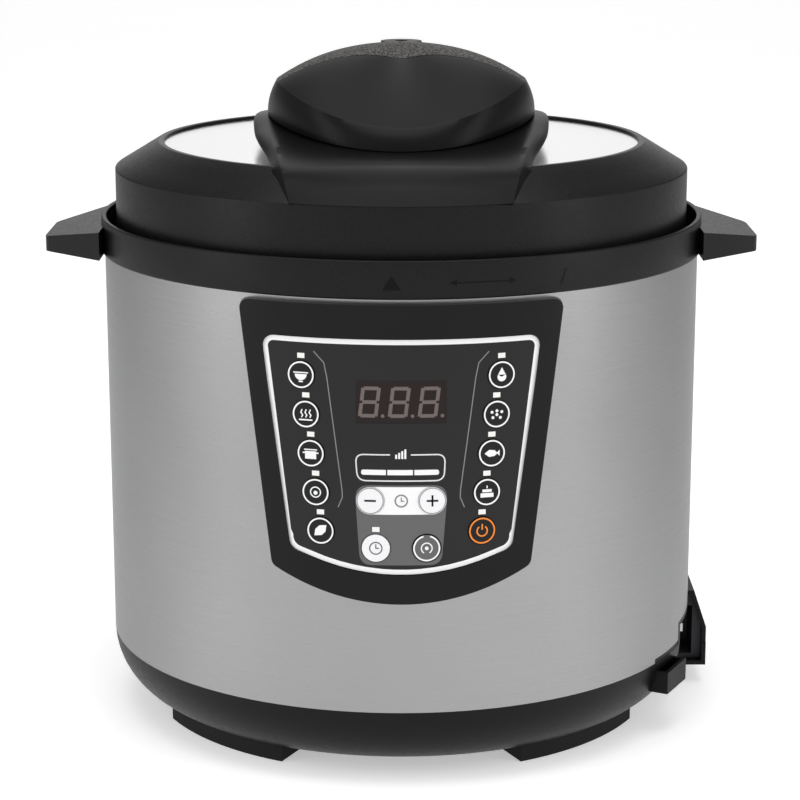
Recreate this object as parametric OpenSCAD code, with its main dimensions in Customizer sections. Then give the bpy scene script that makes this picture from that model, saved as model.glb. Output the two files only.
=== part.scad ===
// Electric pressure cooker: steel-clad body with a curved control panel, twist-lock lid and removable pot.
// Millimetres. +Z is up, the front (control panel) faces -Y, and the origin is the centre of the
// surface that the feet stand on.

/* [Pot] */
// Outer radius of the inner cooking pot
pot_r = 110; // [95:0.5:135]
// Height of the inner cooking pot
pot_h = 160; // [130:0.5:195]
// Wall of the inner cooking pot
pot_wall = 1.2; // [0.8:0.1:2]
// How far the pot's rolled rim stands out
pot_rim = 2.6; // [1.5:0.1:3]
// Thickness of the outer pot that holds the heater
outer_wall = 1.2; // [1:0.1:2]

/* [Body] */
// Space between the inner pot and the outside of the steel sleeve
jacket = 25; // [23:0.5:34]
// Thickness of the steel sleeve
sleeve_t = 0.8; // [0.6:0.1:1.5]
// Height of the plastic base below the sleeve
base_h = 26; // [22:1:36]
// How far the base leans in between the sleeve and its flat underside
base_lean = 16; // [10:1:22]
// Wall of the plastic base
base_wall = 2.6; // [2:0.1:3.5]
// Height from the sleeve's lower edge to the pot's underside
heater_space = 20; // [20:0.5:30]
// Height of the feet
foot_h = 8; // [5:0.5:14]
// Width of each foot, measured outwards
foot_w = 16; // [10:0.5:20]
// Angle that each curved foot spans
foot_angle = 37; // [20:1:50]
// Radius of the screws in the base
screw_r = 1.8; // [1.4:0.1:2.2]

/* [Collar and side handles] */
// Height of the collar above the sleeve
collar_h = 16; // [13:0.5:22]
// Wall of the collar's rim
rim_t = 2.4; // [2:0.1:3]
// How far the collar stands out past the sleeve
rim_step = 1.4; // [0.8:0.1:2.4]
// Reach of each side handle past the sleeve
handle_reach = 25.5; // [20:0.5:40]
// Width of a side handle at the body
handle_root = 96; // [70:1:110]
// Width of a side handle at its tip
handle_tip = 40; // [24:1:60]
// Thickness of a side handle at the body
handle_thick = 12.5; // [9:0.5:14]
// Thickness of a side handle at its tip
handle_edge = 6.7; // [5:0.1:8]

/* [Lid] */
// Number of locking teeth
teeth = 6; // [4:1:8]
// Angle that each locking tooth spans
tooth_angle = 26; // [20:0.5:27]
// Thickness of the lid's steel pressure plate
plate_t = 1.8; // [1.4:0.1:2.4]
// Height of the lid's shoulder above the collar
shoulder_h = 21; // [16:0.5:28]
// Height of the lid's rim above its shoulder
crown_h = 11.8; // [8:0.2:15]
// How far the lid's sloping crown runs in from its skirt
crown_in = 19.5; // [14:0.5:26]
// Wall of the lid's plastic shell
lid_wall = 2.6; // [2:0.1:3.2]
// Thickness of the bright disc on the lid
disc_t = 0.8; // [0.6:0.1:1.2]
// Height of the sealing ring
seal_h = 8; // [6:0.5:10]

/* [Lid handle] */
// Half width of the handle cap
cap_rx = 60.3; // [45:0.1:66]
// Reach of the handle cap to the front
cap_front = 78; // [60:1:84]
// Reach of the handle cap to the rear
cap_rear = 60; // [45:1:70]
// Height of the handle cap's crest above the bright disc
cap_h = 43.3; // [36:0.1:50]
// Wall of the handle cap
cap_wall = 2.6; // [2:0.1:3.5]
// Thickness of the textured grip
grip_t = 1.4; // [1:0.1:2]
// Half width of the handle base at its shoulders
shoulder_x = 66; // [60:0.5:72]
// Half width of the handle base where it meets the disc
waist_x = 54; // [40:0.5:56]
// Half width of the apron where it meets the skirt
apron_x = 45.6; // [34:0.5:52]

/* [Valves] */
// Distance of the pressure valve behind the centre
valve_y = 36; // [32:0.5:42]
// Radius of the pressure valve's cap
valve_r = 9.5; // [8:0.1:11]
// How far the valve's weight can lift
valve_lift = 2.5; // [1.5:0.1:3]
// Distance of the float valve behind the centre
float_y = 86; // [80:0.5:88]
// Radius of the float valve's pin
float_r = 3; // [2.5:0.1:4]
// How far the float valve rises
float_lift = 5; // [3:0.5:6]

/* [Control panel] */
// Half width of the panel's bezel at the top
bezel_top = 67; // [60:0.5:74]
// Half width of the panel's bezel at its lower end
bezel_foot = 52.5; // [48:0.5:56]
// Height of the panel's bezel
bezel_h = 126.5; // [120:0.5:132]
// Radius of the curved bottom edge
bezel_arc = 109; // [95:1:140]
// How far the bezel stands out from the sleeve
bezel_t = 4; // [3:0.1:5]
// Width of the bezel's frame at the sides
frame_side = 9.3; // [7:0.1:11]
// Width of the bezel's frame along the top
frame_top = 14; // [10:0.5:16]
// Width of the bezel's frame along the bottom
frame_low = 12.5; // [10:0.1:14]
// Depth of the overlay below the bezel's face
overlay_sink = 0.9; // [0.5:0.1:1.5]
// Thickness of the panel's overlay
overlay_t = 1.2; // [1:0.1:1.6]
// Radius of each round key
key_r = 5.8; // [5:0.1:6.2]
// Clear space round each key
key_gap = 0.3; // [0.3:0.05:0.5]
// How far a key can be pressed
key_travel = 0.4; // [0.3:0.1:0.5]
// Spacing of the keys in the two side columns
key_pitch = 16.45; // [15.8:0.05:17]
// Height of the lowest side keys above the bezel's bottom
key_low = 30.7; // [29:0.1:33]
// Distance of the lowest side keys from the middle
key_low_x = 33.4; // [32:0.1:35]
// Extra distance from the middle for each key further up
key_slant = 1.9; // [1.5:0.1:2.1]

/* [Power inlet and condensate cup] */
// Width of the inlet hood along the body
hood_w = 39; // [36:1:46]
// Reach of the inlet hood past the sleeve
hood_out = 9.8; // [8:0.2:12]
// Wall of the inlet hood
hood_wall = 2; // [1.6:0.1:2.6]
// Width of the open pocket beside the inlet
pocket_w = 23; // [16:0.5:26]
// Angle of the open pocket round the body, from the right side towards the front
pocket_at = 27; // [24:1:32]
// Width of the condensate cup
cup_w = 54; // [40:1:64]
// Depth of the condensate cup
cup_d = 22; // [16:0.5:26]
// Height of the condensate cup
cup_h = 46; // [34:1:60]

/* [Hidden] */
$fn = 96;

// Clearances
eps = 0.01;
fit = 0.1;
slack = 0.3;
lift_gap = 0.8;

// Colours
black = [0.09, 0.09, 0.095];
dark = [0.16, 0.16, 0.17];
steel = [0.66, 0.66, 0.67];
bright = [0.9, 0.9, 0.9];
alloy = [0.74, 0.75, 0.76];
board_green = [0.10, 0.30, 0.16];
silicone = [0.82, 0.82, 0.80];
brass = [0.78, 0.62, 0.30];

// Radii, from the pot outwards
outer_r = pot_r + pot_rim + 1.2 + outer_wall;
lug_r = outer_r + 9.2;
tooth_r = outer_r + 4.7;
plate_r = lug_r + lift_gap + plate_t;
well_r = plate_r + lift_gap;
body_r = pot_r + jacket;
sleeve_in = body_r - sleeve_t;
rim_r = body_r + rim_step;
skirt_r = rim_r - rim_t - 4.5;
crown_r = skirt_r - crown_in;
disc_r = crown_r - 3;
base_in = body_r - base_lean;

// Levels, from the floor up
z_base = foot_h;
z_sleeve = z_base + base_h;
z_pot = z_sleeve + heater_space;
z_rim = z_pot + pot_h;
z_collar = z_rim - 2.5;
z_collar_top = z_collar + collar_h;
z_shoulder = z_collar_top + shoulder_h;
z_crown = z_shoulder + crown_h;
z_disc = z_crown - 1.3;
z_crest = z_disc + cap_h;
z_seal = z_rim + slack;
z_web = z_disc - disc_t - lid_wall;
z_plate = z_seal + seal_h + 14;
well_drop = 11;
z_well = z_collar - well_drop;

// The arc of the base's side: it starts upright at the sleeve and ends at the flat underside
base_arc = (base_lean * base_lean + base_h * base_h) / (2 * base_lean);
base_arc_x = body_r - base_arc;
base_steps = 8;

module ring(r_in, r_out, z0, z1) {
    rotate_extrude() translate([r_in, z0]) square([r_out - r_in, z1 - z0]);
}

module sector(r_in, r_out, z0, z1, from, to) {
    rotate([0, 0, from])
        rotate_extrude(angle = to - from)
            translate([r_in, z0]) square([r_out - r_in, z1 - z0]);
}

module rounded(r) {
    offset(r = r, $fn = 24) offset(delta = -r) children();
}

module disc(r, z0, z1) {
    translate([0, 0, z0]) cylinder(r = r, h = z1 - z0, $fn = 180);
}

module post(x, y, r, z0, z1) {
    translate([x, y, z0]) cylinder(r = r, h = z1 - z0, $fn = 48);
}

// ---------------------------------------------------------------- base

screw_ring = pot_r - 24;
screw_angles = [30, 150, 270];
foot_mid = base_in - 2 - foot_w / 2;
foot_angles = [-45, 45, 135, 225];
peg_r = 2.5;

// Outline of the space inside the base's outer surface, less a wall
module base_outline(inset, over = 0) {
    r = base_arc - inset;
    sweep = asin((base_h - inset) / r);
    side = [
        for (k = [base_steps:-1:0])
            [base_arc_x + r * cos(sweep * k / base_steps), z_sleeve - r * sin(sweep * k / base_steps)]
    ];
    polygon(concat(
        [[0, z_sleeve + over], [0, z_base + inset]],
        side,
        [[body_r - inset, z_sleeve + over]]
    ));
}

hood_from = -5;
niche_from = -46;
z_niche = z_base + 10;
hood_x = base_in - 2;
hood_top = z_sleeve + 12;
hood_face = body_r + hood_out;
pocket_z = z_sleeve - 14.5;
pocket_h = 10;
pocket_out = body_r + 4.6;
pocket_in = body_r - 9;

module hood_block(inset, front = 0) {
    translate([0, hood_from + hood_w - inset, 0])
        rotate([90, 0, 0])
            linear_extrude(hood_w - inset + front)
                polygon([
                    [hood_x + inset, z_base + 1 + inset],
                    [hood_face - inset, z_base + 1 + inset],
                    [hood_face - inset, z_sleeve - 6.4],
                    [body_r + 3.6 - inset, hood_top - inset],
                    [hood_x + inset, hood_top - inset]
                ]);
}

// Space in front of the inlet, where the plug of a lead lies
module niche_block(inset) {
    translate([hood_x + inset, niche_from + inset, z_niche + inset])
        cube([hood_out + body_r - hood_x, hood_from + hood_wall / 2 - niche_from - inset,
            z_sleeve + step_high - fit - z_niche - 2 * inset]);
}

module pocket_block(inset) {
    rotate([0, 0, -pocket_at])
        translate([pocket_in + inset, -pocket_w / 2 + inset, pocket_z + inset])
            cube([pocket_out - pocket_in - 2 * inset, pocket_w - 2 * inset, pocket_h]);
}

module base_shell() {
    color(black) difference() {
        union() {
            rotate([0, 0, 180])
                rotate_extrude()
                    difference() {
                        base_outline(0);
                        base_outline(base_wall, 1);
                    }
            // lip inside the sleeve's lower edge
            difference() {
                ring(sleeve_in - fit - 2, sleeve_in - fit, z_sleeve - 3, z_sleeve + 5);
                sector(0, body_r, z_sleeve - 1, z_sleeve + 6, notch_from, notch_end);
            }
            // raised rim below the step in the sleeve
            sector(sleeve_in - fit - 1, body_r - 2 * fit, z_sleeve - 1, z_sleeve + step_low - fit,
                -pocket_at - 6 + 0.1, notch_from);
            // bosses for the base screws
            for (a = screw_angles)
                rotate([0, 0, a]) post(screw_ring, 0, 5, z_base + 1, z_shield);
        }
        for (a = screw_angles)
            rotate([0, 0, a]) {
                post(screw_ring, 0, screw_r + fit, z_base - 1, z_shield + 1);
                post(screw_ring, 0, 3.6, z_base - 1, z_base + 3);
            }
        // peg holes for the feet
        for (a = foot_angles, side = [-1, 1])
            rotate([0, 0, a + side * foot_angle / 3])
                post(foot_mid, 0, peg_r + fit, z_base - 1, z_base + base_wall + 1);
        // ventilation slots in the underside
        for (i = [-4:4])
            translate([i * 9 - 1.8, -32, z_base - 1]) cube([3.6, 64, base_wall + 2]);
        hood_block(0);
        niche_block(0);
        pocket_block(0);
    }
}

module foot(a) {
    color(dark) {
        difference() {
            sector(foot_mid - foot_w / 2, foot_mid + foot_w / 2, 0, z_base,
                a - foot_angle / 2, a + foot_angle / 2);
            // shallow groove under the foot
            sector(foot_mid - 2, foot_mid + 2, -1, 0.8, a - foot_angle / 2 + 3, a + foot_angle / 2 - 3);
        }
        for (side = [-1, 1])
            rotate([0, 0, a + side * foot_angle / 3])
                post(foot_mid, 0, peg_r, z_base - eps, z_base + base_wall);
    }
}

module foot_front_right() {
    foot(foot_angles[0]);
}

module foot_rear_right() {
    foot(foot_angles[1]);
}

module foot_rear_left() {
    foot(foot_angles[2]);
}

module foot_front_left() {
    foot(foot_angles[3]);
}

module base_screws() {
    color(steel)
        for (a = screw_angles)
            rotate([0, 0, a]) difference() {
                union() {
                    post(screw_ring, 0, screw_r, z_base + 1, z_shield + shield_t);
                    post(screw_ring, 0, 3.3, z_base + 1, z_base + 3);
                }
                translate([screw_ring - 2, -0.4, z_base + 0.9]) cube([4, 0.8, 1]);
            }
}

// ---------------------------------------------------------------- sleeve and collar

step_low = 2;
step_high = 10.5;
notch_from = -pocket_at + 6.4;
notch_end = 17;
window_inset = 6;

module steel_body() {
    color(steel) difference() {
        ring(sleeve_in, body_r, z_sleeve, z_collar);
        // window behind the control panel
        from_front(body_r / 2, body_r + 5) bezel_outline(window_inset);
        // stepped notch at the power inlet
        sector(sleeve_in - 5, body_r + 5, z_sleeve - 1, z_sleeve + step_low, -pocket_at - 6, notch_from);
        sector(sleeve_in - 5, body_r + 5, z_sleeve - 1, z_sleeve + step_high, notch_from, notch_end);
        hood_block(0);
    }
}

module handle_plan() {
    rounded(7)
        polygon([
            [0, -handle_root / 2],
            [body_r - 4, -handle_root / 2],
            [body_r + handle_reach, -handle_tip / 2],
            [body_r + handle_reach, handle_tip / 2],
            [body_r - 4, handle_root / 2],
            [0, handle_root / 2]
        ]);
}

module side_handle() {
    difference() {
        intersection() {
            translate([0, 0, z_collar - 1]) linear_extrude(collar_h) handle_plan();
            translate([0, handle_root, 0])
                rotate([90, 0, 0])
                    linear_extrude(2 * handle_root)
                        polygon([
                            [body_r - 2, z_collar],
                            [body_r + handle_reach, z_collar],
                            [body_r + handle_reach, z_collar + handle_edge],
                            [body_r - 2, z_collar + handle_thick]
                        ]);
        }
        // the handle is hollow underneath
        translate([body_r + 3, -handle_tip / 2 + 3, z_collar - 1])
            cube([handle_reach - 9, handle_tip - 6, 4]);
        ring(0, body_r - 1, z_collar - 2, z_collar_top + 2);
    }
}

module collar() {
    color(black) difference() {
        union() {
            rotate_extrude() rounded(0.8)
                union() {
                    // upright rim
                    translate([rim_r - rim_t, z_collar]) square([rim_t, collar_h]);
                    // trough round the lid
                    translate([well_r, z_collar]) square([rim_r - well_r, 2]);
                    translate([well_r, z_well]) square([2, well_drop + 2]);
                    // ledge on the outer pot
                    translate([outer_r + slack, z_well]) square([well_r + 2 - outer_r - slack, 2.5]);
                    // lip inside the sleeve's upper edge
                    translate([sleeve_in - fit - 2, z_collar - 4]) square([2, 5]);
                }
            side_handle();
            rotate([0, 0, 180]) side_handle();
            // spout over the condensate cup
            translate([-8, rim_r - 1, z_collar]) cube([16, spout_y + 4 - rim_r, 6]);
        }
        for (i = [0:5])
            rotate([0, 0, 60 * i]) post(pot_screw_r, 0, screw_r + fit, z_well - 1, z_well + 3);
        // drain from the trough through the spout
        translate([-3, rim_r - rim_t - 1, z_collar + 2]) cube([6, spout_y + rim_t + 2.5 - rim_r, 2.5]);
        translate([-3, spout_y - 1.5, z_collar - 1]) cube([6, 3, 4]);
    }
}

// ---------------------------------------------------------------- outer pot and heater

pot_screw_r = outer_r + 5;
z_shield = z_base + 18;
shield_t = 0.8;
z_outer = z_sleeve + 8;
heater_r = pot_r - 18;
heater_t = z_pot - z_outer - outer_wall - 0.8;
sensor_r = 12;
lug_t = 3;

module outer_pot() {
    color(alloy) difference() {
        union() {
            ring(outer_r - outer_wall, outer_r, z_outer, z_rim);
            ring(sensor_body + slack + fit, outer_r, z_outer, z_outer + outer_wall);
            // flange and locking lugs
            ring(outer_r - outer_wall, outer_r + 1.6, z_rim - lug_t, z_rim);
            for (i = [0:teeth - 1])
                sector(outer_r + 0.8, lug_r, z_rim - lug_t, z_rim,
                    i * 360 / teeth + 90 - tooth_angle / 2, i * 360 / teeth + 90 + tooth_angle / 2);
            // flange under the collar's ledge
            ring(outer_r - outer_wall, outer_r + 9, z_well - 1.5, z_well);
        }
        for (i = [0:5])
            rotate([0, 0, 60 * i]) post(pot_screw_r, 0, screw_r + fit, z_well - 3, z_well + 1);
        for (a = screw_angles)
            rotate([0, 0, a]) post(stud_ring, 0, stud_r + fit, z_outer - 1, z_outer + 3);
        for (a = cold_ends)
            rotate([0, 0, a]) post(element_r, 0, element_t, z_outer - 1, z_outer + 3);
    }
}

stud_ring = 58;
stud_r = 2;

module pot_screws() {
    color(steel)
        for (i = [0:5])
            rotate([0, 0, 60 * i]) {
                post(pot_screw_r, 0, screw_r, z_well - 1.5, z_well + 2.5);
                post(pot_screw_r, 0, 3, z_well - 3.5, z_well - 1.5);
            }
}

element_r = 72;
element_t = 3.2;
cold_ends = [-70, 250];

module heating_plate() {
    color(alloy) difference() {
        union() {
            ring(sensor_r + 2, heater_r, z_pot - heater_t, z_pot);
            for (a = screw_angles)
                rotate([0, 0, a]) post(stud_ring, 0, stud_r, z_shield + shield_t, z_pot - heater_t + 1);
        }
        // channel for the heating element, in the underside
        rotate([0, 0, -75])
            rotate_extrude(angle = 330)
                translate([element_r - element_t - slack, z_pot - heater_t - 1])
                    square([2 * (element_t + slack), 3.2 + element_t - 1.35]);
    }
}

module heating_element() {
    color(dark) {
        rotate([0, 0, -70])
            rotate_extrude(angle = 320)
                translate([element_r, z_pot - heater_t + 2.2]) circle(r = element_t - 1.4, $fn = 32);
        // cold ends with terminals
        for (a = cold_ends)
            rotate([0, 0, a]) {
                post(element_r, 0, element_t - 1.5, z_outer - 9, z_pot - heater_t + 2.2);
                translate([element_r - 0.4, -3, z_outer - 15]) cube([0.8, 6, 7]);
            }
    }
}

module heat_shield() {
    color(alloy) difference() {
        disc(shield_r, z_shield, z_shield + shield_t);
        for (a = screw_angles)
            rotate([0, 0, a]) {
                post(screw_ring, 0, screw_r + fit, z_shield - 1, z_shield + 2);
            }
        // openings for the element's ends and for wiring
        for (a = cold_ends)
            rotate([0, 0, a]) translate([element_r - 6, -8, z_shield - 1]) cube([12, 16, 3]);
        // opening for the sensor's stem
        post(0, 0, 10, z_shield - 1, z_shield + 2);
    }
}

shield_r = pot_r - 8;

module thermal_fuse() {
    color(brass)
        translate([-34, -8, z_outer - 3.2]) rotate([-90, 0, 0]) cylinder(r = 2.8, h = 16, $fn = 32);
    color(steel)
        translate([-38, -2, z_outer - 1]) cube([8, 4, 1]);
}

module pressure_switch() {
    color(dark) {
        translate([26, -7, z_shield + shield_t]) cube([16, 14, z_outer - z_shield - shield_t - 3]);
        post(34, 0, 2.2, z_outer - 4, z_outer);
    }
}

// ---------------------------------------------------------------- temperature sensor

sensor_body = 6;
z_sensor = z_pot - 0.3;

module temperature_sensor() {
    color(bright) {
        post(0, 0, sensor_r, z_sensor - 3, z_sensor);
        post(0, 0, sensor_body, z_outer - 2, z_sensor - 2.9);
        post(0, 0, 2.5, z_shield - 6, z_outer - 1.9);
    }
}

spring_wire = 0.6;
spring_mid = 9;
spring_turns = 3.5;
z_spring = z_outer + outer_wall;

// A tube swept along a helix
module sensor_spring() {
    sides = 8;
    steps = round(spring_turns * 18);
    low = z_spring + spring_wire + 0.1;
    rise = z_sensor - 3.2 - spring_wire - low;
    points = [
        for (i = [0:steps], j = [0:sides - 1])
            let (turn = i / steps, a = 360 * spring_turns * turn, b = 360 * j / sides,
                r = spring_mid + spring_wire * cos(b))
                [r * cos(a), r * sin(a), low + rise * turn + spring_wire * sin(b)]
    ];
    skin = [
        for (i = [0:steps - 1], j = [0:sides - 1])
            let (k = (j + 1) % sides)
                [i * sides + j, i * sides + k, (i + 1) * sides + k, (i + 1) * sides + j]
    ];
    start = [for (j = [sides - 1:-1:0]) j];
    end = [for (j = [0:sides - 1]) steps * sides + j];
    color(steel) polyhedron(points, concat(skin, [start, end]));
}

// ---------------------------------------------------------------- electronics in the base

board_z = z_base + base_wall + 4;
board_t = 1.6;

module power_board() {
    color(board_green)
        translate([-38, 20, board_z]) cube([76, 52, board_t]);
    color(dark)
        for (x = [-34, 34], y = [24, 68])
            post(x, y, 2.5, z_base + base_wall, board_z);
}

module power_parts() {
    color(dark) translate([-32, 26, board_z + board_t]) cube([16, 20, 8]);
    color(brass) translate([-8, 28, board_z + board_t]) cube([18, 16, 9]);
    color(black)
        for (x = [18, 30])
            post(x, 34, 4.5, board_z + board_t, board_z + board_t + 9);
    color(bright) translate([-30, 56, board_z + board_t]) cube([24, 8, 6]);
    color(bright) translate([6, 56, board_z + board_t]) cube([24, 8, 6]);
}

// A flat ribbon from the control board down to the power board
module ribbon_cable() {
    far = board_back;
    near = board_back - 0.8;
    low = z_base + base_wall + 9.4;
    color(dark)
        translate([6, 0, 0])
            rotate([90, 0, 90])
                linear_extrude(16)
                    polygon([
                        [-far, z_panel_low + 24],
                        [-far, low],
                        [24, low],
                        [24, board_z + board_t],
                        [24.8, board_z + board_t],
                        [24.8, low + 0.8],
                        [-near, low + 0.8],
                        [-near, z_panel_low + 24]
                    ]);
}

// ---------------------------------------------------------------- control panel

z_panel_top = z_collar - 1.7;
z_panel_low = z_panel_top - bezel_h;
face_r = body_r + bezel_t;
overlay_r = face_r - overlay_sink;
overlay_back = overlay_r - overlay_t;
ledge = 4;
board_back = outer_r + 5;
board_front = board_back + board_t;
post_x = 38;
z_post = z_panel_top - frame_top - ledge / 2;
post_low_x = 24;
switch_h = 4.3;
led_w = 3.1;
led_h = 2.1;
led_rise = 8;
window_w = 37;
window_tall = 18;
z_window = z_panel_low + 86.3;

// Outline of the bezel seen from the front: a tapered panel with a curved lower edge
module bezel_outline(inset, top = 0, side = 0, low = 0) {
    intersection() {
        polygon([
            [-bezel_foot + inset + side, z_panel_low],
            [bezel_foot - inset - side, z_panel_low],
            [bezel_top - inset - side, z_panel_top - inset - top],
            [-bezel_top + inset + side, z_panel_top - inset - top]
        ]);
        translate([0, z_panel_low + low + bezel_arc]) circle(r = bezel_arc - inset, $fn = 180);
    }
}

module overlay_outline(inset) {
    rounded(5) bezel_outline(inset, frame_top, frame_side, frame_low);
}

// Extrudes an outline in X and Z over a range of distances in front of the centre
module from_front(near, far) {
    translate([0, -near, 0]) rotate([90, 0, 0]) linear_extrude(far - near) children();
}

// Turns its children from straight ahead to a point on the panel's face
module on_panel(p) {
    rotate([0, 0, asin(p[0] / overlay_r)]) translate([0, 0, p[1]]) children();
}

module stub(r, near, far) {
    translate([0, -near, 0]) rotate([90, 0, 0]) cylinder(r = r, h = far - near, $fn = 64);
}

// Position of a key in a side column, counted from the top: 1 to 5
function side_key(side, n) =
    [side * (key_low_x + key_slant * (5 - n)), z_panel_low + key_low + key_pitch * (5 - n)];
minus_at = [-12.8, z_panel_low + 44.5];
plus_at = [12.8, z_panel_low + 44.5];
timer_at = [-10.5, z_panel_low + 24.2];
flavor_at = [10.5, z_panel_low + 24.2];
keys = [
    for (side = [-1, 1], n = [1:5]) side_key(side, n),
    minus_at, plus_at, timer_at, flavor_at
];
led_keys = [for (side = [-1, 1], n = [1:5]) side_key(side, n), timer_at];

module panel_frame() {
    color(black) {
        difference() {
            intersection() {
                ring(body_r, face_r, z_panel_low - 1, z_panel_top + 1);
                from_front(body_r / 2, face_r + 5) rounded(4) bezel_outline(0);
            }
            // seat of the overlay, and the opening behind it
            intersection() {
                ring(overlay_back, face_r + 1, z_panel_low - 1, z_panel_top + 1);
                from_front(body_r / 2, face_r + 5) overlay_outline(0);
            }
            from_front(body_r / 2, face_r + 5) overlay_outline(ledge);
        }
        // posts that carry the control board
        for (x = [-1, 1]) {
            translate([x * post_x, 0, z_post])
                stub(1.8, board_front, sqrt(pow(body_r + 1, 2) - post_x * post_x));
            translate([x * post_low_x, 0, z_low_post])
                stub(1.8, board_front, sqrt(pow(body_r + 1, 2) - post_low_x * post_low_x));
        }
    }
}

z_low_post = z_panel_low + frame_low + bezel_arc
    - sqrt(pow(bezel_arc - ledge / 2, 2) - post_low_x * post_low_x);

module panel_overlay() {
    color(black) difference() {
        intersection() {
            ring(overlay_back, overlay_r, z_panel_low - 1, z_panel_top + 1);
            from_front(body_r / 2, face_r + 5) overlay_outline(0);
        }
        for (p = keys)
            on_panel(p) stub(key_r + key_gap, overlay_back - 5, face_r + 2);
        for (p = led_keys)
            on_panel(p) translate([-led_w / 2, -face_r - 2, led_rise - led_h / 2])
                cube([led_w, 10, led_h]);
        translate([-window_w / 2, -face_r - 2, z_window - window_tall / 2])
            cube([window_w, 20, window_tall]);
    }
}

module display_window() {
    color([0.25, 0.08, 0.09, 0.6])
        intersection() {
            ring(overlay_back, overlay_r - 0.15, z_panel_low, z_panel_top);
            translate([-window_w / 2, -face_r - 2, z_window - window_tall / 2])
                cube([window_w, 20, window_tall]);
        }
}

module display_module() {
    deep = sqrt(pow(overlay_back, 2) - pow(window_w / 2 + 1.5, 2)) - 0.6;
    color(dark)
        translate([-window_w / 2 - 1, -deep, z_window - window_tall / 2 - 1.5])
            cube([window_w + 2, deep - board_front, window_tall + 3]);
}

module indicator_leds() {
    color([0.95, 0.9, 0.75])
        for (p = led_keys)
            on_panel(p) translate([-led_w / 2, -overlay_r - 0.05, led_rise - led_h / 2])
                cube([led_w, overlay_t + 2, led_h]);
}

module control_board() {
    color(board_green)
        from_front(board_back, board_front)
            intersection() {
                bezel_outline(frame_low);
                translate([-46, z_panel_low]) square([92, bezel_h]);
            }
}

module tact_switches() {
    color(dark)
        for (p = keys)
            let (x = switch_x(p))
                translate([x - 3, -board_front - switch_h + 0.7, p[1] - 3])
                    cube([6, switch_h - 0.7, 6]);
    color(black)
        for (p = keys)
            translate([switch_x(p), 0, p[1]]) stub(1.7, board_front + switch_h - 0.8, board_front + switch_h);
}

// Where the line of a key's travel crosses the tops of the switches
function key_turn(p) = asin(p[0] / overlay_r);
function switch_x(p) = (board_front + switch_h) * tan(key_turn(p));

// A round key: its head in the overlay, a flange behind it and a stem to the switch
module key(p, tint) {
    head = overlay_r + 0.4;
    flange = overlay_back - 0.7;
    tip = (board_front + switch_h) / cos(key_turn(p)) + key_travel + 1.7 * tan(abs(key_turn(p))) + 0.1;
    color(tint)
        on_panel(p) {
            stub(key_r, flange - 0.1, head);
            stub(key_r + 0.7, flange - 1.6, flange);
            stub(1.5, tip, flange - 1.5);
        }
}

module key_left_1() {
    key(side_key(-1, 1), dark);
}

module key_left_2() {
    key(side_key(-1, 2), dark);
}

module key_left_3() {
    key(side_key(-1, 3), dark);
}

module key_left_4() {
    key(side_key(-1, 4), dark);
}

module key_left_5() {
    key(side_key(-1, 5), dark);
}

module key_right_1() {
    key(side_key(1, 1), dark);
}

module key_right_2() {
    key(side_key(1, 2), dark);
}

module key_right_3() {
    key(side_key(1, 3), dark);
}

module key_right_4() {
    key(side_key(1, 4), dark);
}

module key_power() {
    key(side_key(1, 5), dark);
}

module key_minus() {
    key(minus_at, bright);
}

module key_plus() {
    key(plus_at, bright);
}

module key_timer() {
    key(timer_at, bright);
}

module key_flavor() {
    key(flavor_at, dark);
}

// ---------------------------------------------------------------- power inlet

module inlet_housing() {
    color(black) difference() {
        union() {
            hood_block(0);
            intersection() {
                niche_block(0);
                rotate_extrude()
                    union() {
                        base_outline(0);
                        translate([hood_x - 10, z_sleeve - 1]) square([body_r - hood_x + 10, step_high + 1]);
                    }
            }
            sector(sleeve_in - 1.2, body_r, z_sleeve, z_sleeve + step_high - fit,
                notch_from + 0.05, notch_end - 0.05);
        }
        // inside of the hood, open to the front
        hood_block(hood_wall, 5);
        // niche, open to the outside
        niche_block(hood_wall);
    }
}

socket_from = hood_from + 5;
socket_x = body_r - 4.5;
socket_z = z_base + 17;

module inlet_socket() {
    color(dark) difference() {
        intersection() {
            hood_block(hood_wall);
            translate([0, socket_from, 0]) cube([200, 100, 200]);
        }
        // recess for the plug
        translate([socket_x - 8, socket_from - 1, socket_z - 12]) cube([16, 20, 24]);
    }
}

module inlet_pins() {
    color(bright)
        for (p = [[-3, -7], [-3, 7], [3, 0]])
            translate([socket_x + p[0] - 1, socket_from + 3, socket_z + p[1] - 2])
                cube([2, 16, 4]);
}

module side_pocket() {
    color(black) difference() {
        pocket_block(0);
        pocket_block(1.8);
        // the cavity stays in front of the base's wall
        rotate([0, 0, -pocket_at])
            translate([pocket_in + 4, -pocket_w / 2 + 1.8, pocket_z + 5]) cube([5, pocket_w - 3.6, pocket_h]);
    }
}

// ---------------------------------------------------------------- condensate cup

cup_from = rim_r + 0.6;
cup_top = z_collar - 3;
spout_y = cup_from + 4.5;
rib_z = cup_top - 12;

module cup_bracket() {
    color(black) {
        difference() {
            translate([-cup_w / 2 - 3, body_r - 12, cup_top - 30])
                cube([cup_w + 6, cup_from - body_r + 12 - 0.3, 24]);
            disc(body_r, cup_top - 40, cup_top);
        }
        for (side = [-1, 1])
            difference() {
                translate([side * (cup_w / 2 + 1.65) - 1.35, cup_from - 0.4, rib_z - 8])
                    cube([2.7, 12, 16]);
                // groove for the cup's rib
                translate([side * (cup_w / 2 + 0.9) - 1.1, cup_from - 1, rib_z - 1.3])
                    cube([2.2, 20, 2.6]);
            }
    }
}

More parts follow.
